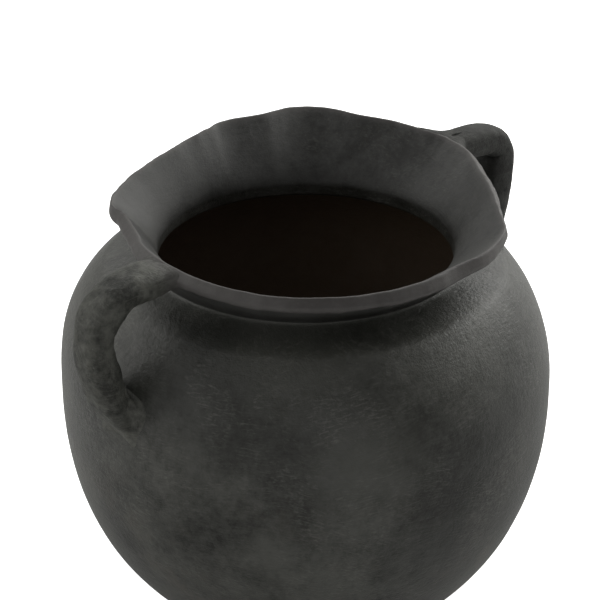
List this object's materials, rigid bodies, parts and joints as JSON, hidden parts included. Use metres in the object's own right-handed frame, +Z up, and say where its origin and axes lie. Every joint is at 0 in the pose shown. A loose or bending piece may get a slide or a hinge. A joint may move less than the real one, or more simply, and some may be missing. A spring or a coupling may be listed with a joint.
{
  "type": "clay pot",
  "caption": "Hand-built black clay pot with a round belly, short neck, wide flared rim with a pinched edge, and looped handles from the rim to the shoulder.",
  "frame": {"origin": "middle of the flat base, on the surface that the pot stands on", "axes": "+Z up the pot's axis, +X through both handles towards the right-hand one, +Y completes the right-handed frame"},
  "size_m": [0.3535, 0.3, 0.2666],
  "materials": {
    "scraped_clay": "matte, reduction-fired black, scraped and wiped",
    "rough_clay": "matte, reduction-fired black, hand-squeezed and left gritty"
  },
  "bodies": {
    "root": {"lower_bowl": "scraped_clay", "belly_coil": "scraped_clay", "shoulder_coil": "scraped_clay", "neck_coil": "scraped_clay", "flared_rim": "scraped_clay", "left_handle": "rough_clay", "right_handle": "rough_clay", "left_rim_luting": "rough_clay", "right_rim_luting": "rough_clay", "left_foot_luting": "rough_clay", "right_foot_luting": "rough_clay"}
  },
  "joints": []
}
